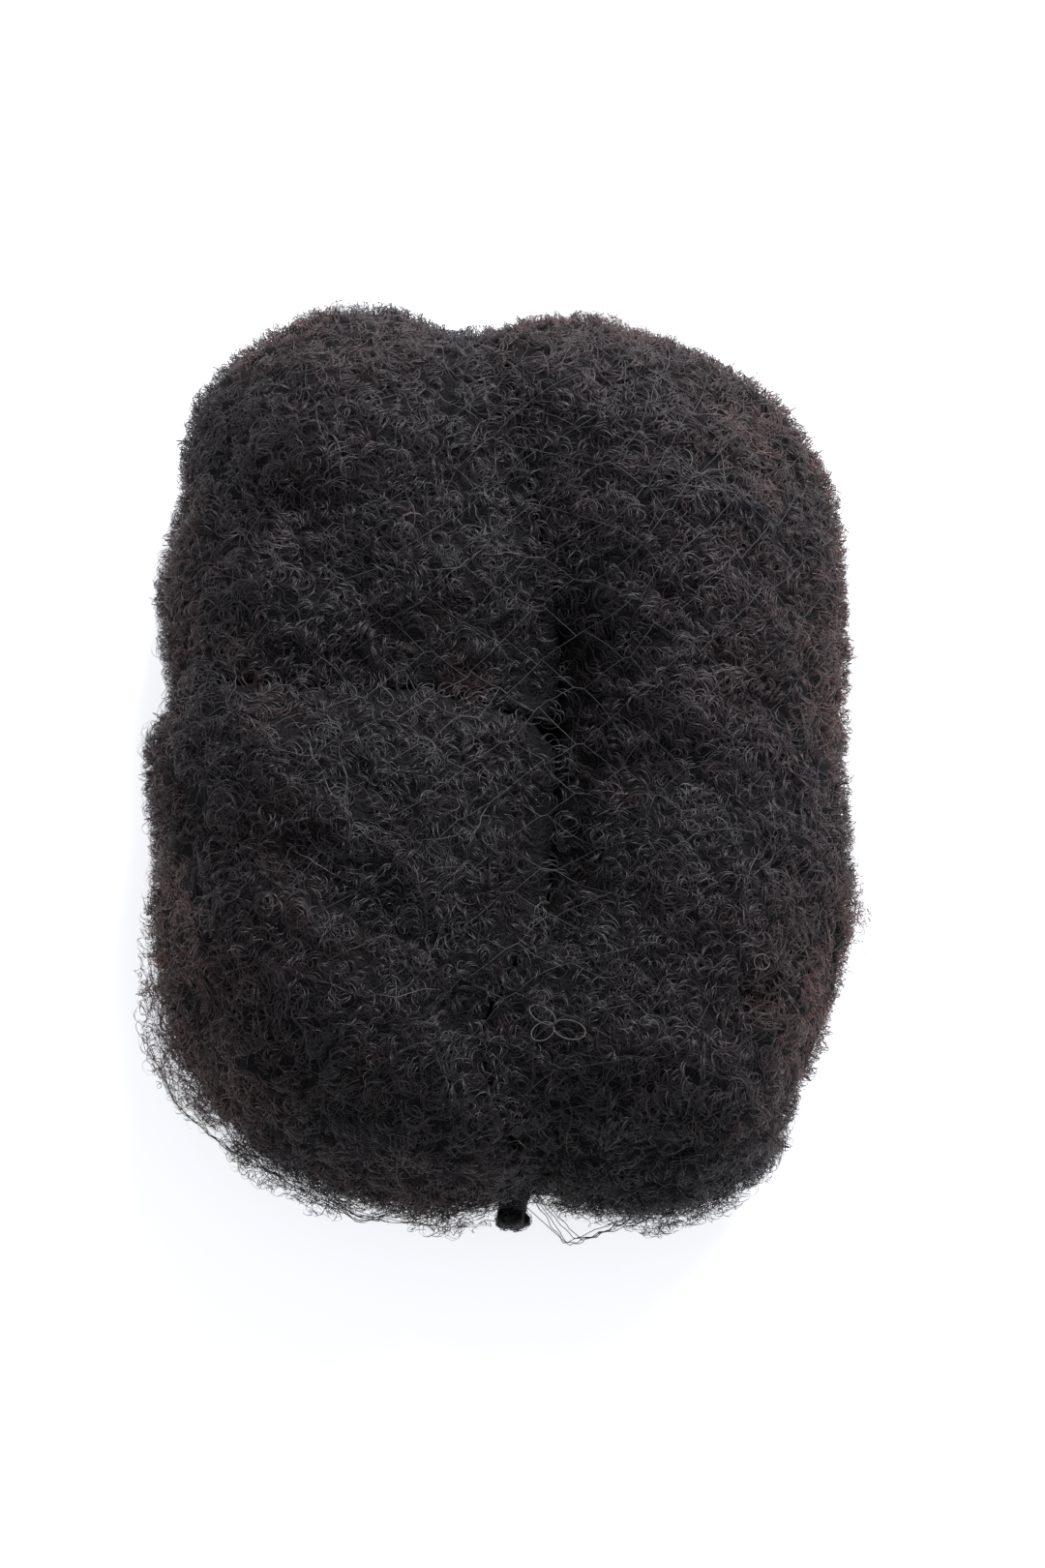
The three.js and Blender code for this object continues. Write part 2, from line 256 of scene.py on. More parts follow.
def felt_material():
    felt = new_material("matted_hair", roughness=0.8, specular=0.1)
    place = node(felt, "ShaderNodeTexCoord").outputs["Object"]
    curls = node(felt, "ShaderNodeTexVoronoi", feature="F1")
    curls.inputs["Scale"].default_value = CURLS_PER_METRE
    stray = node(felt, "ShaderNodeTexNoise")
    stray.inputs["Scale"].default_value = CURLS_PER_METRE
    stray.inputs["Detail"].default_value = CURL_DETAIL
    bend = node(felt, "ShaderNodeVectorMath", operation="MULTIPLY_ADD")
    bend.inputs[1].default_value = (CURL_BEND,) * 3
    link(felt, place, stray.inputs["Vector"])
    link(felt, stray.outputs["Color"], bend.inputs[0])
    link(felt, place, bend.inputs[2])
    link(felt, bend.outputs["Vector"], curls.inputs["Vector"])
    arcs = node(felt, "ShaderNodeMath", operation="SINE")
    turns = node(felt, "ShaderNodeMath", operation="MULTIPLY")
    turns.inputs[1].default_value = ARCS_PER_CURL * 2 * math.pi
    link(felt, curls.outputs["Distance"], turns.inputs[0])
    link(felt, turns.outputs["Value"], arcs.inputs[0])
    bump = node(felt, "ShaderNodeBump")
    bump.inputs["Strength"].default_value = ARC_STRENGTH
    bump.inputs["Distance"].default_value = ARC_RELIEF
    link(felt, arcs.outputs["Value"], bump.inputs["Height"])
    link(felt, bump.outputs["Normal"], shader(felt).inputs["Normal"])
    patches = node(felt, "ShaderNodeTexNoise")
    patches.inputs["Scale"].default_value = PATCHES_PER_METRE
    link(felt, place, patches.inputs["Vector"])
    colours = node(felt, "ShaderNodeValToRGB")
    ends = zip(colours.color_ramp.elements, FELT_TURNING, (FELT_BLACK, FELT_BROWN))
    for end, position, colour in ends:
        end.position = position
        end.color = colour
    link(felt, patches.outputs["Fac"], colours.inputs["Fac"])
    link(felt, colours.outputs["Color"], shader(felt).inputs["Base Color"])
    return felt


# The outline is the bundle's even outer form, with the grooves between the wads closed
outline = surface_of(
    regrained(packed_form("outline", *WADS), OUTLINE_GRAIN, OUTLINE_CLOSING, OUTLINE_SMOOTHING)
)

matted_hair = felt_material()
felts = [
    regrained(packed_form(wad + "_felt", wad), FELT_GRAIN, smoothing=FELT_SMOOTHING)
    for wad in WADS
]
wad_trees = [search_tree(felt) for felt in felts]
for number, (felt, wad) in enumerate(zip(felts, WADS)):
    others = wad_trees[:number] + wad_trees[number + 1 :]
    points = coordinates(felt.data)
    off = distances(points, others, PRESSED_REACH)
    full_depth = np.where(points[:, 2] < PRESSED_LEVEL, *PRESSED_DEPTHS)
    deep = np.clip(depth_inside(points, outline.tree) / full_depth, 0, 1)
    pressed = np.minimum(1, (1 - off / PRESSED_REACH) / PRESSED_EASE) * deep
    met = off / 2 + PRESSED_OVERLAP
    clumped(felt, (1 - pressed) * FELT_INSET - pressed * met, 1 - PRESSED_FLAT * pressed)
    felt.data.materials.append(matted_hair)
    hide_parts(wad)
    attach(felt, "root")


# The curls
# Coily hairs stand out of the felt in locks of a few hairs that coil side by side. Each hair
# is a thin strip that turns its face outwards, and only the part above the felt is made.
PILE_GRAIN = 1.6 * MM
PILE_CLOSING = 1.9 * MM  # half the width of the gap between wads that their curls fill
PILE_SMOOTHING = 4
BRIDGE_REACH = 2 * MM
BRIDGE_START = 0.3  # millimetres off the wads, from where the pile bridges a gap
BRIDGE_RELIEF = 0.35  # how much of its tufts' relief it keeps there
GROOVE_DEPTH = 7 * MM  # under the bundle's outline, where the curls have become few
ROOT_CELL = 5 * MM  # each cell of this size gets its full share of the locks
ROOT_HEIGHT = 1.5 * MM  # the lowest over the table that a lock is rooted
ROOT_SCATTER = 0.7  # millimetres

# The pile is the surface that the curls of all the wads together spring from
pile = regrained(
    packed_form("pile", *WADS), PILE_GRAIN, PILE_CLOSING, smoothing=PILE_SMOOTHING
)
even = coordinates(pile.data)
bridging = np.clip(distances(even, wad_trees, BRIDGE_REACH) / MM - BRIDGE_START, 0, 1)
clumped(pile, 0, 1 - (1 - BRIDGE_RELIEF) * bridging)
pile = surface_of(pile)
pile_furrows = furrow(even, LARGE_TUFT)[pile.corners]
pile_depths = np.clip(depth_inside(pile.centres, outline.tree) / GROOVE_DEPTH, 0, None)


def roots_of(surface, count, weights, rng):
    """Faces to root locks on, spread evenly by weight. None lies under the bundle."""
    weights = weights * surface.areas * (surface.centres[:, 2] > ROOT_HEIGHT)
    order = np.lexsort(np.floor(surface.centres / ROOT_CELL).T)
    sums = np.cumsum(weights[order])
    places = (np.arange(count) + rng.uniform(0, 1, count)) / count * sums[-1]
    return order[np.searchsorted(sums, places)]


def walks(surface, starts, step, wander, steps, rng):
    """A line over the surface from each start, and the way out of it along the line."""
    lines = np.empty((len(starts), steps, 3))
    ups = np.empty_like(lines)
    headings = unit(rng.normal(size=(len(starts), 3)))
    turns = rng.normal(scale=wander, size=(len(starts), steps))
    for k, start in enumerate(starts):
        at = Vector(surface.centres[start] + rng.uniform(-ROOT_SCATTER, ROOT_SCATTER, 3) * MM)
        heading = Vector(headings[k])
        for s in range(steps):
            spot, _, face, _ = surface.tree.find_nearest(at)
            up = Vector(surface.normals[face])
            heading = (heading - up * heading.dot(up)).normalized()
            turned = up.cross(heading) * math.sin(turns[k, s])
            heading = heading * math.cos(turns[k, s]) + turned
            lines[k, s] = spot
            ups[k, s] = up
            at = spot + heading * step[k]
    return lines, ups


SMALL_BIAS = 1.3  # a higher one makes more of the sizes small


def mostly_small(sizes, count, rng):
    """Sizes between two limits, more of them near the smaller one."""
    return sizes[0] + (sizes[1] - sizes[0]) * rng.uniform(0, 1, count) ** SMALL_BIAS


def resampled(rows, count):
    """Rows of evenly spaced points, with more points between them."""
    places = np.linspace(0, rows.shape[1] - 1, count)
    low = np.minimum(places.astype(int), rows.shape[1] - 2)
    share = (places - low)[None, :, None]
    return rows[:, low] * (1 - share) + rows[:, low + 1] * share


# How the hairs of one lock differ from each other
PHASE_SCATTER = 0.5  # radians
LEAN_SCATTER = 0.15  # radians
LOCK_RADII = (0.72, 1.2)  # shares of the lock's own radius
LOW_BIAS = 1.6  # a higher one lays more of them low
WOBBLE = 0.2  # how much a hair's radius changes along it
WOBBLE_TURNS = 2.7  # how many turns each change takes
ANY_PHASE = (0, 6.3)  # radians


def coiled(axes, ups, hairs, along, turns, radius, tilt, lift, spread, rng):
    """Hairs that coil round the axes of their locks, with some hairs to a lock. Returns their
    points, the way out of the pile and out of the coil at each, and its height over the pile."""
    count = len(axes) * hairs
    lock = np.repeat(np.arange(len(axes)), hairs)
    axis = resampled(axes, along)[lock]
    up = unit(resampled(ups, along)[lock])
    ahead = unit(np.gradient(axis, axis=1))
    side = unit(np.cross(up, ahead))
    phase = rng.uniform(0, 2 * math.pi, len(axes))[lock]
    phase = phase + rng.normal(scale=PHASE_SCATTER, size=count)
    turn = phase[:, None] + np.linspace(0, 2 * math.pi * turns, along)
    lean = (tilt[lock] + rng.normal(scale=LEAN_SCATTER, size=count))[:, None, None]
    cos, sin = np.cos(turn)[:, :, None], np.sin(turn)[:, :, None]
    ring = cos * (np.cos(lean) * up + np.sin(lean) * ahead) + sin * side
    wobble = np.sin(turn / WOBBLE_TURNS + rng.uniform(*ANY_PHASE, (count, 1)))[:, :, None]
    wobble = 1 + WOBBLE * wobble
    reach = radius[lock][:, None, None] * rng.uniform(*LOCK_RADII, (count, 1, 1)) * wobble
    raised = lift[lock][:, None, None] * rng.uniform(0, 1, (count, 1, 1)) ** LOW_BIAS
    shift = side * rng.normal(scale=spread, size=(count, 1, 1))
    points = axis + up * raised + shift + ring * reach
    return points, up, ring, ((points - axis) * up).sum(axis=2)


def hair_mesh(name, corners, faces, tints, tones, spots):
    """A piece from arrays: its corners, its faces, how brown and how pale each corner is, and
    its UV map."""
    used, faces = np.unique(faces.ravel(), return_inverse=True)
    mesh = bpy.data.meshes.new(name)
    mesh.vertices.add(len(used))
    mesh.vertices.foreach_set("co", corners[used].ravel())
    mesh.loops.add(len(faces))
    mesh.loops.foreach_set("vertex_index", faces)
    mesh.polygons.add(len(faces) // 4)
    mesh.polygons.foreach_set("loop_start", np.arange(0, len(faces), 4))
    mesh.update(calc_edges=True)
    for key, values in (("brown_and_backlit", tints), ("pale", tones)):
        layer = mesh.attributes.new(key, "FLOAT", "POINT")
        layer.data.foreach_set("value", values[used])
    layer = mesh.uv_layers.new(name="OFBake")
    layer.data.foreach_set("uv", spots[used][faces].ravel())
    mesh.shade_smooth()
    return linked(name, mesh)


UV_RUN = (0.1, 0.9)  # where a strand lies in its own cell of the UV map, along it
UV_EDGE = (0.3, 0.7)  # and across it


def swept(name, sections, kept, brown_and_backlit, pale, closed):
    """One piece with a short section carried along each of many hairs. sections holds its
    corners at each point, kept the steps to make, and closed says if it goes all round."""
    count, along, sides = sections.shape[:3]
    step = np.flatnonzero(kept.ravel())
    first = ((step // (along - 1)) * along + step % (along - 1)) * sides
    faces = []
    for k in range(sides if closed else sides - 1):
        j = (k + 1) % sides
        faces.append(np.stack([first + k, first + j, first + sides + j, first + sides + k], axis=1))
    cells = math.ceil(math.sqrt(count))
    strand = np.repeat(np.arange(count), along * sides)
    run = np.tile(np.repeat(np.linspace(*UV_RUN, along), sides), count)
    edge = np.tile(np.linspace(*UV_EDGE, sides), count * along)
    spots = np.stack([(strand % cells + run) / cells, (strand // cells + edge) / cells], axis=1)
    tints, tones = np.repeat(brown_and_backlit.ravel(), sides), np.repeat(pale.ravel(), sides)
    return hair_mesh(name, sections.reshape(-1, 3), np.concatenate(faces), tints, tones, spots)


TAPER_POINTS = 2.5  # how many points of a strip its taper takes up at each end


def strips(name, points, facing, kept, width, brown_and_backlit, pale):
    """Flat tapering strips along rows of points, which turn their faces the given way."""
    across = unit(np.cross(np.gradient(points, axis=1), facing))
    from_start = np.arange(points.shape[1]) + 1
    taper = np.minimum(1, np.minimum(from_start, from_start[::-1]) / TAPER_POINTS)
    half = across * width / 2 * taper[None, :, None]
    return swept(name, np.stack([points - half, points + half], axis=2), kept, brown_and_backlit, pale, False)


SUNK_OUT_OF_SIGHT = -0.25 * MM  # over the pile, where a hair is cut off


def above(height, points):
    """Which steps of a hair lie out of the felt and over the floor."""
    kept = (height > SUNK_OUT_OF_SIGHT) & (points[:, :, 2] > FLOOR_CLEARANCE)
    return kept[:, :-1] & kept[:, 1:]


# Where the hair is browner and lighter, mostly at its edges. There it is partly the hair's own
# brown and partly a painted backlit glow, where the white floor's light would shine through the
# thin hairs. across and along place the middle of each patch, spread is how far it goes on from
# there, and rim and top are how brown the hair is where it stands out sideways and where it
# stands up.
BROWN_AND_BACKLIT = (
    {"across": 50 * MM, "along": 60 * MM, "spread": 22 * MM, "rim": 0.8, "top": 0.2},
    {"across": 66 * MM, "along": 22 * MM, "spread": 32 * MM, "rim": 0.9, "top": 0.2},
    {"across": 62 * MM, "along": -45 * MM, "spread": 26 * MM, "rim": 0.8, "top": 0.15},
    {"across": -64 * MM, "along": -34 * MM, "spread": 30 * MM, "rim": 1.0, "top": 0.1},
    {"across": -54 * MM, "along": -56 * MM, "spread": 16 * MM, "rim": 1.0, "top": 0.2},
    {"across": -64 * MM, "along": 30 * MM, "spread": 26 * MM, "rim": 0.5, "top": 0.1},
    {"across": -18 * MM, "along": -80 * MM, "spread": 16 * MM, "rim": 0.35, "top": 0},
    {"across": 16 * MM, "along": 84 * MM, "spread": 20 * MM, "rim": 0.65, "top": 0.25},
    {"across": -34 * MM, "along": 82 * MM, "spread": 22 * MM, "rim": 0.5, "top": 0.2},
    {"across": -7 * MM, "along": 11 * MM, "spread": 3.5 * MM, "rim": 0, "top": 0.5},
    {"across": -42 * MM, "along": 4 * MM, "spread": 5 * MM, "rim": 0, "top": 0.25},
    {"across": 12 * MM, "along": 40 * MM, "spread": 6 * MM, "rim": 0, "top": 0.1},
    {"across": 50 * MM, "along": -48 * MM, "spread": 6 * MM, "rim": 0, "top": 0.4},
)
RIM_SLOPE = 0.75  # how much a face still turns up where the rim begins
RIM_STEEPNESS = 2.6  # how soon the hair counts as standing out sideways from there
BROWN_HEIGHT = 22 * MM  # over the table, where it has its full share
BROWN_LOW = 0.3  # how much of that share it has near the table
BROWN_GRAIN = 9 * MM
BROWN_RANGE = (0.4, 1.2)  # the least of a share that is left, and what unevenness adds
BROWN_SINGLE = 0.06  # the mean of what single hairs add

# Painted shade: the hair is drawn blacker where shade falls, in the hollows and on the side
# away from the light. share is how much of the hair's paleness goes there.
PAINTED_SHADE_PATCHES = (
    {"across": -30 * MM, "along": -28 * MM, "spread": 42 * MM, "share": 0.42},
    {"across": -24 * MM, "along": -66 * MM, "spread": 34 * MM, "share": 0.5},
    {"across": -20 * MM, "along": 22 * MM, "spread": 24 * MM, "share": 0.26},
    {"across": 10 * MM, "along": -30 * MM, "spread": 16 * MM, "share": 0.25},
    {"across": -43 * MM, "along": 17 * MM, "spread": 10 * MM, "share": 0.7},
    {"across": -27 * MM, "along": 17 * MM, "spread": 10 * MM, "share": 0.7},
    {"across": -11 * MM, "along": 17 * MM, "spread": 9 * MM, "share": 0.6},
    {"across": 3 * MM, "along": 13 * MM, "spread": 8 * MM, "share": 0.5},
)


def patchy(points, table, key):
    """The largest of a table's shares at each point, which fade away round their middles."""
    share = np.zeros(points.shape[:-1])
    for patch in table:
        away = np.hypot(points[..., 0] - patch["across"], points[..., 1] - patch["along"])
        share = np.maximum(share, patch[key] * np.exp(-((away / patch["spread"]) ** 2)))
    return share


def smooth_step(share):
    share = np.clip(share, 0, 1)
    return share * share * (3 - 2 * share)


def swell(points, pitch, channel):
    """Smooth noise from 0 to 1 that changes over about one pitch."""
    home = np.floor(points / pitch)
    share = smooth_step(points / pitch - home)
    total = np.zeros(len(points))
    for step in np.ndindex(2, 2, 2):
        weight = np.prod(np.where(np.array(step) == 1, share, 1 - share), axis=1)
        total += weight * scattered(home + np.array(step), channel)
    return total


def uneven(points, pitch, channel):
    """Smooth noise from 0 to 1 for points in rows."""
    return swell(points.reshape(-1, 3), pitch, channel).reshape(points.shape[:-1])


def brownness_and_backlight(points, up, rng):
    """How brown each hair is along its length, with a painted backlit glow on the rims. Here and
    there a single one is browner.
    """
    rim = np.clip((RIM_SLOPE - up[..., 2]) * RIM_STEEPNESS, 0, 1)
    share = patchy(points, BROWN_AND_BACKLIT, "rim") * rim + patchy(points, BROWN_AND_BACKLIT, "top") * (1 - rim)
    share *= BROWN_RANGE[0] + BROWN_RANGE[1] * uneven(points, BROWN_GRAIN, channel=5)
    share *= np.clip(points[..., 2] / BROWN_HEIGHT, BROWN_LOW, 1)
    return np.clip(share + rng.exponential(BROWN_SINGLE, (len(points), 1)), 0, 1)


PALE_GRAIN = 5 * MM
PALE_SPREAD = (1.6, 3)  # the shape of the beta spread of the single hairs' paleness
PALE_SINGLE = 0.55  # how much of it goes by the hair
PALE_PATCHES = 0.45  # and how much by the patch that the hair is in


def paleness_and_painted_shade(points, rng):
    """Each hair is a little paler or darker than the next, and so is each patch of them. In the
    hollows and on the side away from the light, painted shade makes it blacker.
    """
    single = rng.beta(*PALE_SPREAD, (len(points), 1))
    patches = uneven(points, PALE_GRAIN, channel=9)
    pale = np.clip(PALE_SINGLE * single + PALE_PATCHES * patches, 0, 1)
    # painted shade: the hollows and the side away from the light are drawn blacker
    return pale * (1 - patchy(points, PAINTED_SHADE_PATCHES, "share"))


HAIR_BLACK = (0.0072, 0.0069, 0.0084, 1)
HAIR_PALE = (0.0370, 0.0366, 0.0442, 1)
# the hair's own brown, which is also painted on the rims as a backlit glow and so is much lighter
# than the black
HAIR_BROWN_AND_BACKLIT = (0.0900, 0.0445, 0.0405, 1)


def strand_material(name, dark, pale, brown_and_backlit, roughness, specular):
    strand = new_material(name, roughness, specular)
    tone = node(strand, "ShaderNodeAttribute", attribute_name="pale")
    tones = node(strand, "ShaderNodeValToRGB")
    tones.color_ramp.elements[0].color = dark
    tones.color_ramp.elements[1].color = pale
    tint = node(strand, "ShaderNodeAttribute", attribute_name="brown_and_backlit")
    mix = node(strand, "ShaderNodeMix", data_type="RGBA")
    mix.inputs["B"].default_value = brown_and_backlit
    link(strand, tone.outputs["Fac"], tones.inputs["Fac"])
    link(strand, tones.outputs["Color"], mix.inputs["A"])
    link(strand, tint.outputs["Fac"], mix.inputs["Factor"])
    link(strand, mix.outputs["Result"], shader(strand).inputs["Base Color"])
    return strand


def fitted(piece, material):
    piece.data.materials.append(material)
    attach(piece, "root")


LOCKS = 6600
HAIRS_PER_LOCK = 3
HAIR_POINTS = 24
AXIS_POINTS = 8
HAIR_WIDTH = 0.135 * MM
COIL_RADII = (0.6 * MM, 2.1 * MM)
COIL_PITCHES = (0.6 * MM, 4.0 * MM)
TURNS_PER_HAIR = 2.2
LOCK_SPREAD = 0.45 * MM
LOCK_WANDER = 0.2  # radians that a lock's axis turns from one point to the next
HAIR_LIFT = 1.0 * MM
CURL_FACING = (1, 0.3, 0.45, 0.3)  # the shares that faced() takes
LEAST_SEEN = 0.92  # how much the pile may face down before it has no locks left
SEEN_STEEPNESS = 1.1
OPEN_DEPTH = 0.2  # of the groove's depth, from where the locks grow fewer
OPEN_FADE = 4
FURROW_LOSS = 0.3  # how many fewer locks there are between the tufts
GROOVE_SHADE_FADE = 2  # how fast painted shade darkens the hair with the groove's depth
GROOVE_PAINTED_SHADE = 0.65  # how much darker than the rest the deepest curls are drawn, as painted shade
LEFT_SPLIT = -30 * MM  # across, where the left wad's curls are parted into two pieces
RIGHT_SPLIT = -10 * MM  # along, where the right wad's are
FLAT_BIAS = 0.6  # a lower one lays more of the rings flat
WALL_LEAN = 0.4  # how much of their lean they keep on an upright wall


def mostly_flat(ups, rng):
    """How far the rings of each lock lean over, from upright to flat on the pile. On a wall
    they stand more upright."""
    leaning = 0.5 * math.pi * rng.uniform(0, 1, len(ups)) ** FLAT_BIAS
    return leaning * (WALL_LEAN + (1 - WALL_LEAN) * np.clip(ups[:, 0, 2], 0, 1))


def faced(up, ring, shares, rng):
    """The way each hair turns its face: so much out of the pile, so much straight up, so much
    out of its coil, and so much by chance."""
    out, straight_up, from_coil, chance = shares
    ways = out * up + [0, 0, straight_up] + from_coil * ring
    return ways + chance * rng.normal(size=(len(up), 1, 3))


curled_hair = strand_material(
    "curled_hair", HAIR_BLACK, HAIR_PALE, HAIR_BROWN_AND_BACKLIT, roughness=0.5, specular=0.3
)
rng = np.random.default_rng(11)
seen = np.clip((pile.normals[:, 2] + LEAST_SEEN) * SEEN_STEEPNESS, 0, 1)
open_air = np.exp(-np.clip(pile_depths - OPEN_DEPTH, 0, None) * OPEN_FADE)
starts = roots_of(pile, LOCKS, seen * open_air * (1 - FURROW_LOSS * pile_furrows), rng)
pitch = rng.uniform(*COIL_PITCHES, LOCKS)
step = pitch * TURNS_PER_HAIR / (AXIS_POINTS - 1)
axes, ups = walks(pile, starts, step, LOCK_WANDER, AXIS_POINTS, rng)
points, up, ring, height = coiled(
    axes,
    ups,
    HAIRS_PER_LOCK,
    HAIR_POINTS,
    TURNS_PER_HAIR,
    radius=mostly_small(COIL_RADII, LOCKS, rng),
    tilt=mostly_flat(ups, rng),
    lift=np.full(LOCKS, HAIR_LIFT),
    spread=LOCK_SPREAD,
    rng=rng,
)
shown = above(height, points)
facing = faced(up, ring, CURL_FACING, rng)
brown_and_backlit = brownness_and_backlight(points, up, rng)
# Painted shade: curls rooted deep in a groove are drawn darker, as little light gets in there
groove_shade = np.repeat(1 - np.exp(-GROOVE_SHADE_FADE * pile_depths[starts]), HAIRS_PER_LOCK)
pale = paleness_and_painted_shade(points, rng) * (1 - GROOVE_PAINTED_SHADE * groove_shade)[:, None]
nearest_wad = []
for axis in axes:
    gaps = [tree.find_nearest(Vector(axis[0]))[3] for tree in wad_trees]
    nearest_wad.append(WADS[gaps.index(min(gaps))])
nearest_wad = np.repeat(nearest_wad, HAIRS_PER_LOCK)
on_left, on_right = nearest_wad == "left_wad", nearest_wad == "right_wad"
across, along = points[:, 0, 0], points[:, 0, 1]
curl_groups = {
    "upper_curls": nearest_wad == "upper_wad",
    "left_curls_side": on_left & (across < LEFT_SPLIT),
    "left_curls_middle": on_left & (across >= LEFT_SPLIT),
    "right_curls_head": on_right & (along > RIGHT_SPLIT),
    "right_curls_foot": on_right & (along <= RIGHT_SPLIT),
}
for name, rows in curl_groups.items():
    curls = strips(
        name, points[rows], facing[rows], shown[rows], HAIR_WIDTH, brown_and_backlit[rows], pale[rows]
    )
    fitted(curls, curled_hair)


# The loose hairs
# Thin loops stand out of the bundle all round it. They are few and short for the most part,
# and a loose, lacy fringe at the left of the foot. Long hairs wander over the curls.
FRINGE_LOCKS = 2000
NOTCH_LOCKS = 280
FRINGE_HAIRS = 2
FRINGE_POINTS = 18
FRINGE_WIDTH = 0.12 * MM
FRINGE_RADII = (0.45 * MM, 1.4 * MM)
FRINGE_REACH = 1.3 * MM
FRINGE_TURNS = 2
FRINGE_FACING = (0.6, 0.5, 0.4, 0.3)  # the shares that faced() takes
FRINGE_TOP = 30 * MM
RIM_TURN = 0.55  # how much a face may still turn up to count as the rim
OFF_RIM = 0.05  # how much of the fringe grows elsewhere
RIM_FRINGE = 0.35  # how thick the fringe is on a plain rim
LACE_FRINGE = 6  # and how much thicker in the lace
LACE_REACH = 8 * MM
FRINGE_PALENESS = 0.7
LACE_DARKNESS = 0.35

# Where the fringe is a lace that stands out further. across and along place its middle, spread
# is how far it goes on from there, and reach is how much of LACE_REACH it has.
LACE = (
    {"across": -60 * MM, "along": -54 * MM, "spread": 20 * MM, "reach": 1.0},
    {"across": -38 * MM, "along": -76 * MM, "spread": 18 * MM, "reach": 0.9},
    {"across": -8 * MM, "along": -82 * MM, "spread": 12 * MM, "reach": 0.7},
    {"across": 12 * MM, "along": -80 * MM, "spread": 9 * MM, "reach": 0.8},
    {"across": 32 * MM, "along": -84 * MM, "spread": 18 * MM, "reach": 0.6},
    {"across": 65 * MM, "along": -27 * MM, "spread": 4 * MM, "reach": 0.6},
    {"across": -24 * MM, "along": 86 * MM, "spread": 16 * MM, "reach": 0.2},
    {"across": 14 * MM, "along": 86 * MM, "spread": 16 * MM, "reach": 0.2},
)
# Curls reach across the notch beside the tied end, and over the parting above it. share is how
# thickly they grow there, and reach is how far they stand out.
NOTCH = (
    {"across": 14 * MM, "along": -81 * MM, "spread": 8 * MM, "share": 1.0, "reach": 5 * MM},
    {"across": 3 * MM, "along": -68 * MM, "spread": 4 * MM, "share": 0.6, "reach": 0.3 * MM},
)
NOTCH_TOP = 36 * MM

rng = np.random.default_rng(23)
on_rim = np.exp(-((pile.normals[:, 2] / RIM_TURN) ** 2)) * (pile.centres[:, 2] < FRINGE_TOP)
lacy = patchy(pile.centres, LACE, "reach")
fringed = (on_rim + OFF_RIM) * seen * (RIM_FRINGE + LACE_FRINGE * lacy)
on_pile = roots_of(pile, FRINGE_LOCKS, fringed, rng)
in_notch = patchy(outline.centres, NOTCH, "share") * (outline.centres[:, 2] < NOTCH_TOP)
over_notch = roots_of(outline, NOTCH_LOCKS, in_notch, rng)
pitch = rng.uniform(*COIL_PITCHES, FRINGE_LOCKS + NOTCH_LOCKS)
step = pitch * FRINGE_TURNS / (AXIS_POINTS - 1)
rim_lines = walks(pile, on_pile, step, LOCK_WANDER, AXIS_POINTS, rng)
notch_step = step[FRINGE_LOCKS:]
notch_lines = walks(outline, over_notch, notch_step, LOCK_WANDER, AXIS_POINTS, rng)
axes, ups = (np.concatenate(pair) for pair in zip(rim_lines, notch_lines))
rim_lift = FRINGE_REACH + (LACE_REACH - FRINGE_REACH) * lacy[on_pile]
notch_lift = patchy(outline.centres[over_notch], NOTCH, "reach")
points, up, ring, height = coiled(
    axes,
    ups,
    FRINGE_HAIRS,
    FRINGE_POINTS,
    turns=FRINGE_TURNS,
    radius=mostly_small(FRINGE_RADII, len(axes), rng),
    tilt=rng.uniform(0, 0.5 * math.pi, len(axes)),
    lift=np.append(rim_lift, notch_lift),
    spread=LOCK_SPREAD,
    rng=rng,
)
# The notch's locks lie on the outline, over open air, so none of their hairs is sunk in felt
height[FRINGE_HAIRS * FRINGE_LOCKS :] = 0
facing = faced(up, ring, FRINGE_FACING, rng)
fringe = strips(
    "fringe",
    points,
    facing,
    above(height, points),
    FRINGE_WIDTH,
    brownness_and_backlight(points, up, rng),
    (FRINGE_PALENESS - LACE_DARKNESS * patchy(points, LACE, "reach")) * paleness_and_painted_shade(points, rng),
)
fitted(fringe, curled_hair)

# Long hairs run over the curls in slow waves
LONG_HAIRS = 190
LONG_HAIR_POINTS = 26
LONG_HAIR_STEP = (0.8 * MM, 1.8 * MM)
LONG_HAIR_WANDER = 0.28  # radians from one point to the next
LONG_HAIR_WAVING = 9  # radians of the wave along a hair
LONG_HAIR_LIFT = 1.1  # millimetres over the pile
LONG_HAIR_WAVE = 0.6  # millimetres up and down from there
LONG_HAIR_TURN = 0.3  # how much chance turns its face
LONG_HAIR_PALE = 0.3  # the least of its paleness

starts = roots_of(pile, LONG_HAIRS, seen, rng)
step = rng.uniform(*LONG_HAIR_STEP, LONG_HAIRS)
lines, ups = walks(pile, starts, step, LONG_HAIR_WANDER, LONG_HAIR_POINTS, rng)
wave = np.linspace(0, LONG_HAIR_WAVING, LONG_HAIR_POINTS)
wave = np.sin(wave + rng.uniform(*ANY_PHASE, (LONG_HAIRS, 1)))
lines = lines + ups * (LONG_HAIR_LIFT + LONG_HAIR_WAVE * wave)[:, :, None] * MM
long_hairs = strips(
    "long_hairs",
    lines,
    ups + LONG_HAIR_TURN * rng.normal(size=(LONG_HAIRS, 1, 3)),
    above(np.ones(lines.shape[:2]), lines),
    FRINGE_WIDTH,
    brownness_and_backlight(lines, ups, rng),
    LONG_HAIR_PALE + (1 - LONG_HAIR_PALE) * paleness_and_painted_shade(lines, rng),
)
fitted(long_hairs, curled_hair)

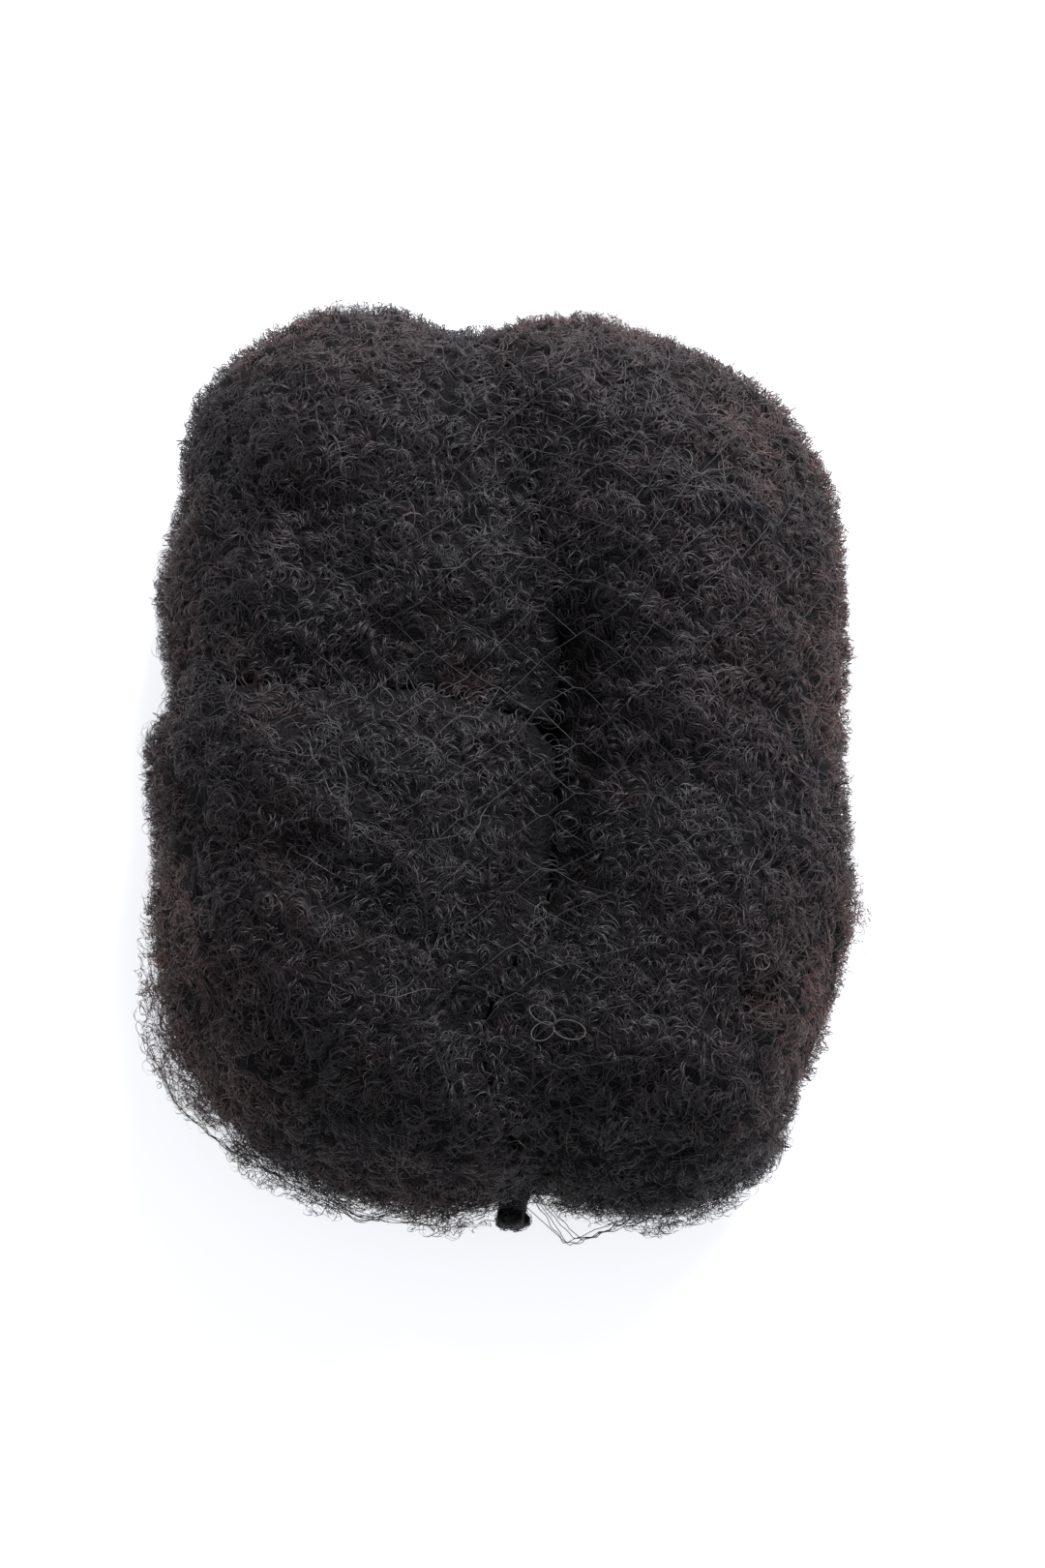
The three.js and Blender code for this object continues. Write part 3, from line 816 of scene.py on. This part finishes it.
# Stray pale hairs that lie curled on the top: three loops of one, and a ring of another.
# across and along place the point that a loop leaves from and comes back to, and length and
# width are its own, all in millimetres. heading is in degrees, anticlockwise from the right.
STRAY_LOOPS = (
    {"across": 9.7, "along": -53.3, "length": 4.4, "width": 3.1, "heading": 208},
    {"across": 9.7, "along": -53.3, "length": 5.9, "width": 3.4, "heading": -16},
    {"across": 9.9, "along": -52.7, "length": 5.2, "width": 2.7, "heading": 148},
    {"across": 48.6, "along": -40.7, "length": 2.9, "width": 2.7, "heading": 206},
)
STRAY_POINTS = 26
STRAY_WIDTH = 0.16 * MM
STRAY_LIFT = 1.5 * MM
STRAY_PARTING = 0.2  # radians of a loop that are left open where it begins
STRAY_TURN = 0.2  # how much chance turns its face
STRAY_TONES = (0.3, 0.5)  # the least paleness, and what unevenness adds
STRAY_GRAIN = 2 * MM
STRAY_DARK = (0.04, 0.036, 0.032, 1)
STRAY_PALE = (0.22, 0.20, 0.18, 1)
OVER_THE_TOP = 0.2  # metres, clear of the bundle


def laid_on_top(flat, lift):
    """Points that lie over the bundle, from how far across and along it they are."""
    down = Vector((0, 0, -1))
    spots = []
    for x, y in flat.reshape(-1, 2):
        spots.append(outline.tree.ray_cast(Vector((x, y, OVER_THE_TOP)), down)[0])
    return (np.array(spots) + [0, 0, lift]).reshape(*flat.shape[:-1], 3)


turn = np.linspace(STRAY_PARTING, 2 * math.pi, STRAY_POINTS)
loops = []
for loop in STRAY_LOOPS:
    heading = math.radians(loop["heading"])
    ahead = np.array([math.cos(heading), math.sin(heading)])
    beside = np.array([-math.sin(heading), math.cos(heading)])
    out_and_back = (1 - np.cos(turn))[:, None] * ahead * loop["length"] / 2
    round_loop = out_and_back + np.sin(turn)[:, None] * beside * loop["width"] / 2
    loops.append((round_loop + [loop["across"], loop["along"]]) * MM)
loops = laid_on_top(np.array(loops), STRAY_LIFT)
pale_hair = strand_material(
    "pale_hair", STRAY_DARK, STRAY_PALE, HAIR_BROWN_AND_BACKLIT, roughness=0.4, specular=0.5
)
stray_hairs = strips(
    "stray_hairs",
    loops,
    np.array([0, 0, 1]) + STRAY_TURN * rng.normal(size=(len(loops), 1, 3)),
    np.ones((len(loops), STRAY_POINTS - 1), bool),
    STRAY_WIDTH,
    np.zeros(loops.shape[:2]),
    STRAY_TONES[0] + STRAY_TONES[1] * uneven(loops, STRAY_GRAIN, channel=2),
)
fitted(stray_hairs, pale_hair)


# The net
# A fine net tube is drawn over the wads, gathered at the head and tied at the foot. Its threads
# twist in pairs into short bars round six-sided meshes, and sink in among most of the curls.
NET_CENTRE = Vector((0, 0, 24 * MM))
HEAD_GATHER = Vector((-4 * MM, 84 * MM, 17 * MM))
NET_COLUMNS = 44
NET_ROWS = 44
BAR_SHARE = 0.2  # of a column's width
NET_SAMPLES = 3  # per mesh, to find the bundle's outline
OUTLINE_TURNS = 241  # directions in which it is felt for, round the bundle
OUTLINE_SLOPES = 121  # and from head to foot
OUTSIDE = 0.3  # metres from the net's centre, clear of the bundle
THREAD_RADIUS = 0.085 * MM
NET_SUNK = -0.7 * MM  # how the net lies over the outline where it has sunk in
NET_PROUD = 1.6 * MM  # and where it lies on the curls
NET_WAVER = 0.8 * MM
NET_WAVER_GRAIN = 9 * MM
NET_HUG = 1.6  # how soon it lies close on the hair where that slopes down to the rims
SLACK_LOOSENING = 2  # how soon it leaves the hair where it is slack
SLACK_REACH = 3 * MM  # how far it stands out there
TIGHT_BOW = 0.5 * MM  # one family of threads is tight and bows up, the other sinks
SUNK_BOW = -0.7 * MM
NET_JITTER = 0.09  # of a mesh
BAR_RADIUS = 1.5 * THREAD_RADIUS
BAR_POINTS = 3
DIAGONAL_POINTS = 5
GATHERED_SHARE = 0.06  # of the net's length, at each end
GATHER_RADIUS = 2.3 * MM
KNOT_TIP = 3 * MM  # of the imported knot's length, whose middle is the net's axis there
TIP_TO_GATHER = 6 * MM

knot_low = Vector(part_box("net_knot")[0])
knot_corners = coordinates(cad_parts["net_knot"].data)
knot_tip = knot_corners[knot_corners[:, 1] < knot_low.y + KNOT_TIP]
foot_gather = Vector((knot_tip.min(axis=0) + knot_tip.max(axis=0)) / 2)
foot_gather.y = knot_low.y + TIP_TO_GATHER


def outline_spot(turn, slope):
    """The outline's point in a direction from the net's centre: a turn about the bundle's
    length, and a slope towards the head gather or, if it is negative, the foot gather."""
    pole = (HEAD_GATHER if slope > 0 else foot_gather) - NET_CENTRE
    around = Vector((math.sin(turn), 0, math.cos(turn)))
    way = (around * math.cos(slope) + pole.normalized() * abs(math.sin(slope))).normalized()
    return np.array(outline.tree.ray_cast(NET_CENTRE + way * OUTSIDE, -way)[0])


def lengths_along(points):
    steps = np.linalg.norm(np.diff(points, axis=0), axis=1)
    return np.concatenate([[0], np.cumsum(steps)])


def net_table():
    """Points of the outline by even shares of the way round it and from head to foot."""
    turns = np.linspace(0, 2 * math.pi, OUTLINE_TURNS)
    around = lengths_along(np.array([outline_spot(turn, 0) for turn in turns]))
    shares = np.linspace(0, around[-1], NET_COLUMNS * NET_SAMPLES + 1)
    slopes = np.linspace(0.5 * math.pi, -0.5 * math.pi, OUTLINE_SLOPES)
    table = []
    for turn in np.interp(shares, around, turns):
        run = np.array([outline_spot(turn, slope) for slope in slopes])
        reach = lengths_along(run)
        places = np.linspace(0, reach[-1], NET_ROWS * NET_SAMPLES + 1)
        table.append(np.stack([np.interp(places, reach, run[:, i]) for i in range(3)], axis=1))
    return np.array(table)


# Where the net lies on the curls rather than among them, placed in the way that BROWN_AND_BACKLIT
# is
NET_SHOWS = (
    {"across": 10 * MM, "along": 12 * MM, "spread": 34 * MM, "share": 1.0},
    {"across": 24 * MM, "along": 44 * MM, "spread": 32 * MM, "share": 0.9},
    {"across": 10 * MM, "along": -40 * MM, "spread": 18 * MM, "share": 0.7},
    {"across": 45 * MM, "along": -20 * MM, "spread": 25 * MM, "share": 0.4},
    {"across": -30 * MM, "along": 0 * MM, "spread": 25 * MM, "share": 0.3},
)


LAST_SAMPLE = NET_ROWS * NET_SAMPLES - 1e-6  # just short of the table's last row


def on_net(column, row, bow, table):
    """Points of the net by column and row, drawn together at the gathers, and the way out.
    Between the points of the outline the threads bow out or in. On the rims the net lies
    close on the hair, apart from its slack foot."""
    x = np.mod(column * NET_SAMPLES, NET_COLUMNS * NET_SAMPLES)
    y = np.clip(row * NET_SAMPLES, 0, LAST_SAMPLE)
    i, j = np.minimum(x.astype(int), NET_COLUMNS * NET_SAMPLES - 1), y.astype(int)
    s, t = (x - i)[..., None], (y - j)[..., None]
    near = table[i, j] * (1 - t) + table[i, j + 1] * t
    far = table[i + 1, j] * (1 - t) + table[i + 1, j + 1] * t
    points = near * (1 - s) + far * s
    ways, close = np.empty_like(points), np.empty_like(points)
    for at in np.ndindex(points.shape[:-1]):
        face = outline.tree.find_nearest(Vector(points[at]))[2]
        ways[at] = outline.normals[face]
        close[at] = pile.tree.find_nearest(Vector(points[at]))[0]
    slack = patchy(points, LACE, "reach") * (points[..., 2] < FRINGE_TOP)
    hugging = np.clip(NET_HUG * (1 - ways[..., 2]), 0, 1)
    hugging = hugging * np.clip(1 - SLACK_LOOSENING * slack, 0, 1)
    points = points + (close - points) * hugging[..., None]
    lift = NET_SUNK + (NET_PROUD - NET_SUNK) * patchy(points, NET_SHOWS, "share")
    waver = uneven(points, NET_WAVER_GRAIN, channel=3) - 0.5
    lift += NET_WAVER * waver + SLACK_REACH * slack + bow
    points = points + ways * lift[..., None]
    turn = column / NET_COLUMNS * 2 * math.pi
    radial = np.stack([np.sin(turn), np.zeros_like(turn), np.cos(turn)], axis=-1)
    for gather, share in ((HEAD_GATHER, row / NET_ROWS), (foot_gather, 1 - row / NET_ROWS)):
        drawn = smooth_step(1 - share / GATHERED_SHARE)[..., None]
        points = points * (1 - drawn) + (np.array(gather) + radial * GATHER_RADIUS) * drawn
        ways = ways * (1 - drawn) + radial * drawn
    points[..., 2] = np.maximum(points[..., 2], FLOOR_CLEARANCE + THREAD_RADIUS)
    return points, ways


def round_threads(name, points, out, radius, pale, sides=3):
    """Thin round threads along rows of points. out is a way that lies along none of them."""
    ahead = unit(np.gradient(points, axis=1))
    across = unit(np.cross(ahead, out))
    upright = np.cross(across, ahead)
    turns = [2 * math.pi * k / sides for k in range(sides)]
    ring = [across * math.cos(turn) + upright * math.sin(turn) for turn in turns]
    section = points[:, :, None] + np.stack(ring, axis=2) * radius
    everywhere = np.ones((len(points), points.shape[1] - 1), bool)
    return swept(name, section, everywhere, np.zeros(points.shape[:2]), pale, True)


def joined(name, pieces):
    """One piece from several."""
    work = bmesh.new()
    for piece in pieces:
        work.from_mesh(piece.data)
        bpy.data.objects.remove(piece)
    mesh = bpy.data.meshes.new(name)
    work.to_mesh(mesh)
    work.free()
    mesh.shade_smooth()
    return linked(name, mesh)


NET_DARK = (0.010, 0.010, 0.012, 1)
NET_PALE = (0.085, 0.085, 0.096, 1)
NET_TONES = (0.35, 0.5)  # the least paleness, and what unevenness adds
NET_TONE_GRAIN = 30 * MM

net_thread = strand_material(
    "net_thread", NET_DARK, NET_PALE, NET_DARK, roughness=0.55, specular=0.3
)
rng = np.random.default_rng(37)
table = net_table()
jitter = rng.normal(scale=NET_JITTER, size=(2, NET_COLUMNS, NET_ROWS + 1, 2))
columns, rows = np.meshgrid(np.arange(NET_COLUMNS), np.arange(NET_ROWS + 1), indexing="ij")
knotted = (columns + rows) % 2 == 0
bar_column, bar_row = columns[knotted], rows[knotted]
bar_start = np.stack([bar_column, bar_row], axis=1) + jitter[0][knotted]
bar_end = np.stack([bar_column + BAR_SHARE, bar_row], axis=1) + jitter[1][knotted]
share = np.linspace(0, 1, BAR_POINTS)[None, :, None]
bars = bar_start[:, None] * (1 - share) + bar_end[:, None] * share
share = np.linspace(0, 1, DIAGONAL_POINTS)[None, :, None]
net_threads = [("net_bars", bars, 0, BAR_RADIUS)]
for name, rise, bow in (("tight_threads", -1, TIGHT_BOW), ("sunk_threads", 1, SUNK_BOW)):
    next_column, next_row = bar_column + 1, bar_row + rise
    inside = (next_row >= 0) & (next_row <= NET_ROWS)
    target = np.stack([next_column, next_row], axis=1)[inside]
    target = target + jitter[0][next_column[inside] % NET_COLUMNS, next_row[inside]]
    threads = bar_end[inside][:, None] * (1 - share) + target[:, None] * share
    bowed = bow * np.sin(np.linspace(0, math.pi, DIAGONAL_POINTS))
    net_threads.append((name, threads, bowed, THREAD_RADIUS))

net_parts = []
for name, flat, bow, radius in net_threads:
    points, ways = on_net(flat[..., 0], flat[..., 1], bow, table)
    pale = np.clip(NET_TONES[0] + NET_TONES[1] * uneven(points, NET_TONE_GRAIN, channel=4), 0, 1)
    net_parts.append(round_threads(name, points, ways, radius, pale))

# Slack threads hang out of the foot of the net in bundles. Each runs from one point low on
# the rim, out round corners near the table, and back to the rim. The points of the paths are
# in millimetres across and along.
SLACK = (
    {"path": ((-64, -44), (-64, -54), (-60, -62), (-49, -70.5), (-38, -76)), "threads": 4},
    {"path": ((-60, -57), (-49, -70), (-37, -77), (-25.5, -83), (-8, -82)), "threads": 4},
    {"path": ((-42, -73), (-27, -82.5), (-12, -83.5), (-4, -81)), "threads": 3},
    {"path": ((5, -81), (12.5, -88), (36, -82)), "threads": 3},
    {"path": ((6, -81), (14, -87), (22, -85), (46, -80)), "threads": 2},
)
SLACK_POINTS = 46
SLACK_HEIGHTS = (7 * MM, 2 * MM)  # at the ends of a thread and between them
SLACK_RADIUS = 0.09 * MM
SLACK_SCATTER = 0.6 * MM
SLACK_CRIMP = 0.22 * MM
SLACK_WAVES = ((40, 110), (7, 12))  # radians of its fine and its slow wave along a thread
SLACK_TONE = 0.3


def slack_threads(rng):
    share = np.linspace(0, 1, SLACK_POINTS)[:, None]
    runs = []
    for bundle in SLACK:
        for _ in range(bundle["threads"]):
            spots = np.array([[*spot, 0] for spot in bundle["path"]]) * MM
            spots += rng.normal(scale=SLACK_SCATTER, size=spots.shape)
            spots[:, 2] += SLACK_HEIGHTS[1]
            for tip in (0, -1):
                spots[tip, 2] = SLACK_HEIGHTS[0]
                spots[tip] = pile.tree.find_nearest(Vector(spots[tip]))[0]
            reach = lengths_along(spots)
            places = share[:, 0] * reach[-1]
            run = np.stack([np.interp(places, reach, spots[:, i]) for i in range(3)], axis=1)
            run[1:-1] = (run[:-2] + run[1:-1] + run[2:]) / 3
            wave = np.zeros_like(run)
            for limits in SLACK_WAVES:
                wave += np.sin(share * rng.uniform(*limits) + rng.uniform(*ANY_PHASE, 3))
            run += wave * SLACK_CRIMP * np.sin(share * math.pi)
            run[:, 2] = np.maximum(run[:, 2], FLOOR_CLEARANCE + THREAD_RADIUS)
            runs.append(run)
    return np.array(runs)


runs = slack_threads(rng)
tones = np.full(runs.shape[:2], SLACK_TONE)
net_parts.append(round_threads("slack_threads", runs, np.array([0, 0, 1.0]), SLACK_RADIUS, tones))
net = joined("hair_net", net_parts)
fitted(net, net_thread)


# The tied end of the net
# The gathered net is wound round with its own thread and knotted, and what is left of it
# sticks out as a small dark lump.
WRAP_TURNS = 7
WRAP_POINTS = 20  # per turn
WRAP_RADIUS = 2.5 * MM
WRAP_PITCH = 0.32 * MM
WRAP_THREAD = 0.2 * MM
WRAP_SIDES = 6
WRAP_SHIFT = 1.2 * MM  # from the gather towards the tip
WRAP_TONE = 0.4
LUMP_PITCH = 1.7 * MM
LUMP_DEPTH = 0.55 * MM
LUMP_GRAIN = 0.3 * MM
LUMP_SMOOTHING = 2
LUMP_LOOPS = 150
LUMP_LOOP_POINTS = 12
LUMP_LOOP_ARC = 4.4  # radians
LUMP_LOOP_RADII = (0.4, 1.1)  # millimetres
LUMP_LOOP_LIFTS = (-0.1, 0.35)  # millimetres
LUMP_LOOP_TILT = 0.2
LUMP_LOOP_THREAD = 0.07 * MM
LUMP_LOOP_TONE = 0.25

tied_end = packed_form("tied_end", "net_knot")
tied_end = regrained(tied_end, LUMP_GRAIN, smoothing=LUMP_SMOOTHING)
points = coordinates(tied_end.data)
points -= point_normals(tied_end.data) * (LUMP_DEPTH * furrow(points, LUMP_PITCH))[:, None]
moved(tied_end, points)
lump = surface_of(linked("lump", tied_end.data))
rng = np.random.default_rng(41)

turn = np.linspace(0, 2 * math.pi * WRAP_TURNS, WRAP_TURNS * WRAP_POINTS)
out = np.stack([np.sin(turn), np.zeros_like(turn), np.cos(turn)], axis=1)[None]
wraps = np.array(foot_gather) + out * WRAP_RADIUS
wraps[..., 1] += (turn / (2 * math.pi) - WRAP_TURNS / 2) * WRAP_PITCH - WRAP_SHIFT
tones = np.full(wraps.shape[:2], WRAP_TONE)
wraps = round_threads("wraps", wraps, out, WRAP_THREAD, tones, sides=WRAP_SIDES)

# Loops of the cut threads stand out all over the lump
spots = rng.choice(len(lump.areas), size=LUMP_LOOPS, p=lump.areas / lump.areas.sum())
turn = rng.uniform(*ANY_PHASE, (LUMP_LOOPS, 1))
turn = turn + np.linspace(0, LUMP_LOOP_ARC, LUMP_LOOP_POINTS)
up = lump.normals[spots][:, None]
side = unit(np.cross(up, rng.normal(size=up.shape)))
spin = np.cos(turn)[:, :, None] * side + np.sin(turn)[:, :, None] * np.cross(up, side)
radii = rng.uniform(*LUMP_LOOP_RADII, (LUMP_LOOPS, 1, 1))
loops = lump.centres[spots][:, None] + spin * radii * MM
loops += up * rng.uniform(*LUMP_LOOP_LIFTS, (LUMP_LOOPS, LUMP_LOOP_POINTS, 1)) * MM
tones = np.full(loops.shape[:2], LUMP_LOOP_TONE)
loops = round_threads("loops", loops, up + LUMP_LOOP_TILT * spin, LUMP_LOOP_THREAD, tones)
tied_end = joined("tied_net_end", [tied_end, wraps, loops])
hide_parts("net_knot")
fitted(tied_end, net_thread)


# The table and the light
# The bundle lies on plain white that glows a little, under a large soft light above its head
# end, so that only a faint shadow falls towards its foot. The view is from nearly overhead.
FLOOR_HALF = 3.0  # metres
FLOOR_WHITE = (0.9, 0.9, 0.92, 1)
FLOOR_GLOW = (0.95, 0.96, 1.0, 1)
FLOOR_GLOW_STRENGTH = 0.8
ROOM_LIGHT = (0.95, 0.97, 1.0, 1)
ROOM_STRENGTH = 0.3
KEY_COLOUR = (0.97, 0.98, 1.0)
KEY_WATTS = 18.5
KEY_SIZE = (0.6, 0.4)
KEY_PLACE = (0.35, 0.75, 0.7)
KEY_AIM = (0, 0, 0.03)
CAMERA_ELEVATION = math.radians(80)
CAMERA_DISTANCE = 1.25
CAMERA_AIM = (0.0041, -0.0032, 0.017)
FRAME_HEIGHT = 0.2916  # how much of the table's length the picture takes in
CAMERA_NEAR = 0.01
SENSOR = 36

floor_mesh = bpy.data.meshes.new("floor")
floor_corners = [(-1, -1), (1, -1), (1, 1), (-1, 1)]
floor_mesh.from_pydata(
    [(x * FLOOR_HALF, y * FLOOR_HALF, 0) for x, y in floor_corners], [], [(0, 1, 2, 3)]
)
floor = linked("floor", floor_mesh)
floor_white = new_material("floor_white", roughness=0.9, specular=0.1)
shader(floor_white).inputs["Base Color"].default_value = FLOOR_WHITE
shader(floor_white).inputs["Emission Color"].default_value = FLOOR_GLOW
shader(floor_white).inputs["Emission Strength"].default_value = FLOOR_GLOW_STRENGTH
floor.data.materials.append(floor_white)

world = bpy.data.worlds.new("studio")
bpy.context.scene.world = world
world.use_nodes = True
world.node_tree.nodes["Background"].inputs["Color"].default_value = ROOM_LIGHT
world.node_tree.nodes["Background"].inputs["Strength"].default_value = ROOM_STRENGTH

key = bpy.data.lights.new("soft_light", "AREA")
key.shape = "RECTANGLE"
key.size, key.size_y = KEY_SIZE
key.energy = KEY_WATTS
key.color = KEY_COLOUR
key_light = linked("soft_light", key)
key_light.location = KEY_PLACE
towards = Vector(KEY_AIM) - key_light.location
key_light.rotation_euler = towards.to_track_quat("-Z", "Y").to_euler()

camera = bpy.data.cameras.new("camera")
camera.sensor_width = SENSOR
camera.lens = SENSOR * CAMERA_DISTANCE / FRAME_HEIGHT
camera.clip_start = CAMERA_NEAR
eye = linked("camera", camera)
back = Vector((0, -math.cos(CAMERA_ELEVATION), math.sin(CAMERA_ELEVATION)))
eye.location = Vector(CAMERA_AIM) + back * CAMERA_DISTANCE
eye.rotation_euler = (-back).to_track_quat("-Z", "Y").to_euler()
bpy.context.scene.camera = eye
bpy.context.scene.view_settings.view_transform = "Standard"
